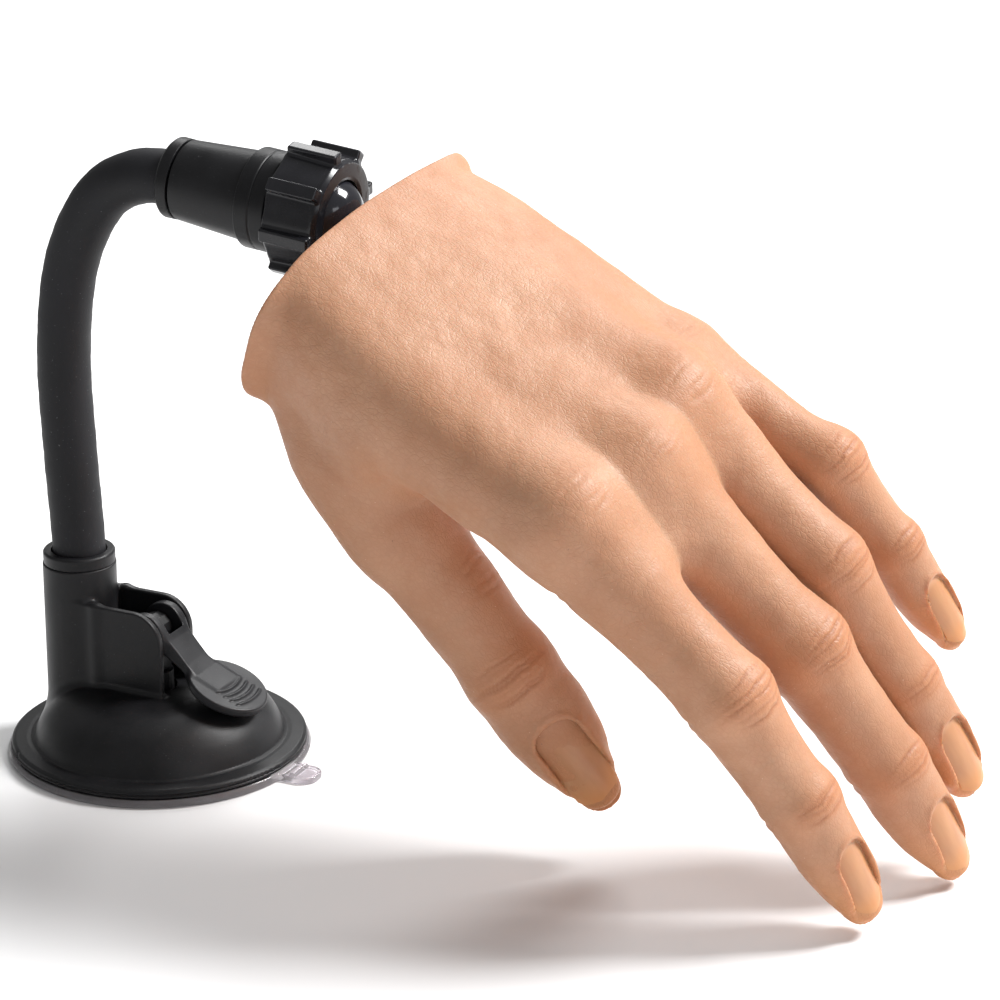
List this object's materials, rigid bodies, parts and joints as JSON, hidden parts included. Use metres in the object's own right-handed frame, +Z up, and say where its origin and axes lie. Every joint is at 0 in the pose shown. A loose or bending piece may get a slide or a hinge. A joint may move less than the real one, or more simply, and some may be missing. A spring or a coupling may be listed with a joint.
{
  "type": "nail practice hand on suction stand",
  "caption": "Soft lifelike left hand with bendable jointed fingers, held by a ball joint on a flexible arm that rises from a lever-locked suction base.",
  "frame": {"origin": "centre of the suction pad's flat underside, on the table", "axes": "+Z up; +X the way the flexible arm reaches out to the hand; the arm bends in the XZ plane at rest"},
  "size_m": [0.2227, 0.0852, 0.1451],
  "materials": {
    "silicone": "warm tan silicone skin with fine creases and a soft satin sheen",
    "matte_black": "satin moulded black plastic",
    "gloss_black": "glossy moulded black plastic",
    "rubber": "matte black rubber sleeve",
    "clear_pad": "clear soft vinyl, slightly grey",
    "steel": "zinc-plated steel",
    "nylon": "natural nylon"
  },
  "bodies": {
    "base": {"suction_pad": "clear_pad", "base_housing": "matte_black", "return_spring": "steel", "lower_bush": "matte_black", "arm_sleeve_0": "rubber", "arm_core_0": "steel"},
    "stem": {"pad_stem": "matte_black", "lever_pin": "steel"},
    "lever": {"lock_lever": "matte_black"},
    "arm_1": {"arm_sleeve_1": "rubber", "arm_core_1": "steel"},
    "arm_2": {"arm_sleeve_2": "rubber", "arm_core_2": "steel"},
    "arm_3": {"arm_sleeve_3": "rubber", "arm_core_3": "steel"},
    "arm_4": {"arm_sleeve_4": "rubber", "arm_core_4": "steel"},
    "arm_5": {"arm_sleeve_5": "rubber", "arm_core_5": "steel"},
    "arm_6": {"arm_sleeve_6": "rubber", "arm_core_6": "steel"},
    "head": {"arm_sleeve_7": "rubber", "upper_bush": "matte_black", "head_socket": "matte_black", "ball_collet": "nylon"},
    "nut": {"clamp_nut": "gloss_black"},
    "ball": {"joint_ball": "gloss_black"},
    "stud": {"ball_stud": "gloss_black"},
    "palm": {"palm_frame": "nylon", "stud_nut": "steel", "thumb_metacarpal": "nylon", "palm_skin": "silicone"},
    "index_proximal": {"index_proximal_skin": "silicone", "index_proximal_bone": "nylon"},
    "index_middle": {"index_middle_skin": "silicone", "index_middle_bone": "nylon"},
    "index_distal": {"index_distal_skin": "silicone", "index_distal_bone": "nylon"},
    "middle_proximal": {"middle_proximal_skin": "silicone", "middle_proximal_bone": "nylon"},
    "middle_middle": {"middle_middle_skin": "silicone", "middle_middle_bone": "nylon"},
    "middle_distal": {"middle_distal_skin": "silicone", "middle_distal_bone": "nylon"},
    "ring_proximal": {"ring_proximal_skin": "silicone", "ring_proximal_bone": "nylon"},
    "ring_middle": {"ring_middle_skin": "silicone", "ring_middle_bone": "nylon"},
    "ring_distal": {"ring_distal_skin": "silicone", "ring_distal_bone": "nylon"},
    "little_proximal": {"little_proximal_skin": "silicone", "little_proximal_bone": "nylon"},
    "little_middle": {"little_middle_skin": "silicone", "little_middle_bone": "nylon"},
    "little_distal": {"little_distal_skin": "silicone", "little_distal_bone": "nylon"},
    "thumb_proximal": {"thumb_proximal_skin": "silicone", "thumb_proximal_bone": "nylon"},
    "thumb_distal": {"thumb_distal_skin": "silicone", "thumb_distal_bone": "nylon"}
  },
  "joints": [
    {"name": "lever_lift", "type": "hinge", "parent": "stem", "child": "lever", "pos_m": [-0.0009, 0, 0.0281], "axis": [0, -1, 0], "range_deg": [0, 80]},
    {"name": "stem_drop", "type": "slide", "parent": "base", "child": "stem", "axis": [0, 0, -1], "range_m": [0, 0.00145], "deforming": ["return_spring", "suction_pad"]},
    {"name": "arm_bend_1", "type": "hinge", "parent": "base", "child": "arm_1", "pos_m": [-0.01965, 0, 0.05149], "axis": [0, 1, 0], "range_deg": [-12, 6]},
    {"name": "arm_side_2", "type": "hinge", "parent": "arm_1", "child": "arm_2", "pos_m": [-0.02061, 0, 0.06717], "axis": [0.999, 0, 0.0438], "range_deg": [-12, 12]},
    {"name": "arm_bend_3", "type": "hinge", "parent": "arm_2", "child": "arm_3", "pos_m": [-0.0213, 0, 0.08286], "axis": [0, 1, 0], "range_deg": [-12, 6]},
    {"name": "arm_side_4", "type": "hinge", "parent": "arm_3", "child": "arm_4", "pos_m": [-0.02052, 0, 0.09854], "axis": [0.9939, 0, -0.1099], "range_deg": [-12, 12]},
    {"name": "arm_bend_5", "type": "hinge", "parent": "arm_4", "child": "arm_5", "pos_m": [-0.01723, 0, 0.11386], "axis": [0, 1, 0], "range_deg": [-12, 6]},
    {"name": "arm_side_6", "type": "hinge", "parent": "arm_5", "child": "arm_6", "pos_m": [-0.00924, 0, 0.12727], "axis": [0.7053, 0, -0.7089], "range_deg": [-12, 12]},
    {"name": "arm_bend_7", "type": "hinge", "parent": "arm_6", "child": "head", "pos_m": [0.005, 0, 0.13293], "axis": [0, 1, 0], "range_deg": [-12, 6]},
    {"name": "nut_turn", "type": "hinge", "parent": "head", "child": "nut", "pos_m": [0.04445, 0, 0.12973], "axis": [0.9954, 0, -0.0958], "range_deg": [0, 270]},
    {"name": "ball_tilt", "type": "hinge", "parent": "head", "child": "ball", "pos_m": [0.04445, 0, 0.12973], "axis": [0, 1, 0], "range_deg": [-35, 10]},
    {"name": "ball_swing", "type": "hinge", "parent": "ball", "child": "stud", "pos_m": [0.04445, 0, 0.12973], "axis": [0.0958, 0, 0.9954], "range_deg": [-18, 25]},
    {"name": "hand_roll", "type": "hinge", "parent": "stud", "child": "palm", "pos_m": [0.04445, 0, 0.12973], "axis": [0.9233, -0.0957, -0.372], "range_deg": [-90, 90]},
    {"name": "index_knuckle_bend", "type": "hinge", "parent": "palm", "child": "index_proximal", "pos_m": [0.11484, -0.03579, 0.08492], "axis": [0.2476, 0.891, 0.3804], "range_deg": [-34, 34]},
    {"name": "index_middle_bend", "type": "hinge", "parent": "index_proximal", "child": "index_middle", "pos_m": [0.14893, -0.03081, 0.05108], "axis": [0.2476, 0.891, 0.3804], "range_deg": [-20, 50]},
    {"name": "index_end_bend", "type": "hinge", "parent": "index_middle", "child": "index_distal", "pos_m": [0.16263, -0.02514, 0.02887], "axis": [0.2476, 0.891, 0.3804], "range_deg": [-9, 41]},
    {"name": "middle_knuckle_bend", "type": "hinge", "parent": "palm", "child": "middle_proximal", "pos_m": [0.12227, -0.01724, 0.09027], "axis": [0.1678, 0.8961, 0.4109], "range_deg": [-39, 29]},
    {"name": "middle_middle_bend", "type": "hinge", "parent": "middle_proximal", "child": "middle_middle", "pos_m": [0.15518, -0.00654, 0.0535], "axis": [0.1678, 0.8961, 0.4109], "range_deg": [-16, 54]},
    {"name": "middle_end_bend", "type": "hinge", "parent": "middle_middle", "child": "middle_distal", "pos_m": [0.17085, 0.00242, 0.02755], "axis": [0.1678, 0.8961, 0.4109], "range_deg": [-8, 42]},
    {"name": "ring_knuckle_bend", "type": "hinge", "parent": "palm", "child": "ring_proximal", "pos_m": [0.12071, 0.00206, 0.09809], "axis": [0.2266, 0.893, 0.3888], "range_deg": [-33, 35]},
    {"name": "ring_middle_bend", "type": "hinge", "parent": "ring_proximal", "child": "ring_middle", "pos_m": [0.1541, 0.00754, 0.06605], "axis": [0.2266, 0.893, 0.3888], "range_deg": [-22, 48]},
    {"name": "ring_end_bend", "type": "hinge", "parent": "ring_middle", "child": "ring_distal", "pos_m": [0.16894, 0.01497, 0.04035], "axis": [0.2266, 0.893, 0.3888], "range_deg": [-4, 46]},
    {"name": "little_knuckle_bend", "type": "hinge", "parent": "palm", "child": "little_proximal", "pos_m": [0.1151, 0.02173, 0.09901], "axis": [0.1989, 0.8949, 0.3994], "range_deg": [-14, 54]},
    {"name": "little_middle_bend", "type": "hinge", "parent": "little_proximal", "child": "little_middle", "pos_m": [0.14836, 0.02147, 0.08303], "axis": [0.1989, 0.8949, 0.3994], "range_deg": [-37, 33]},
    {"name": "little_end_bend", "type": "hinge", "parent": "little_middle", "child": "little_distal", "pos_m": [0.16103, 0.02663, 0.06516], "axis": [0.1989, 0.8949, 0.3994], "range_deg": [-8, 42]},
    {"name": "thumb_knuckle_bend", "type": "hinge", "parent": "palm", "child": "thumb_proximal", "pos_m": [0.07114, -0.02037, 0.07093], "axis": [0.3281, 0.8675, 0.3739], "range_deg": [-8, 50]},
    {"name": "thumb_end_bend", "type": "hinge", "parent": "thumb_proximal", "child": "thumb_distal", "pos_m": [0.09307, -0.01551, 0.0404], "axis": [0.3281, 0.8675, 0.3739], "range_deg": [-4, 42]}
  ],
  "couplings": [
    {"joint": "stem_drop", "follows": "lever_lift", "m_per_rad": 0.001},
    {"joint": "arm_bend_3", "follows": "arm_bend_1", "ratio": 1},
    {"joint": "arm_side_4", "follows": "arm_side_2", "ratio": 1},
    {"joint": "arm_bend_5", "follows": "arm_bend_1", "ratio": 1},
    {"joint": "arm_side_6", "follows": "arm_side_2", "ratio": 1},
    {"joint": "arm_bend_7", "follows": "arm_bend_1", "ratio": 1}
  ]
}
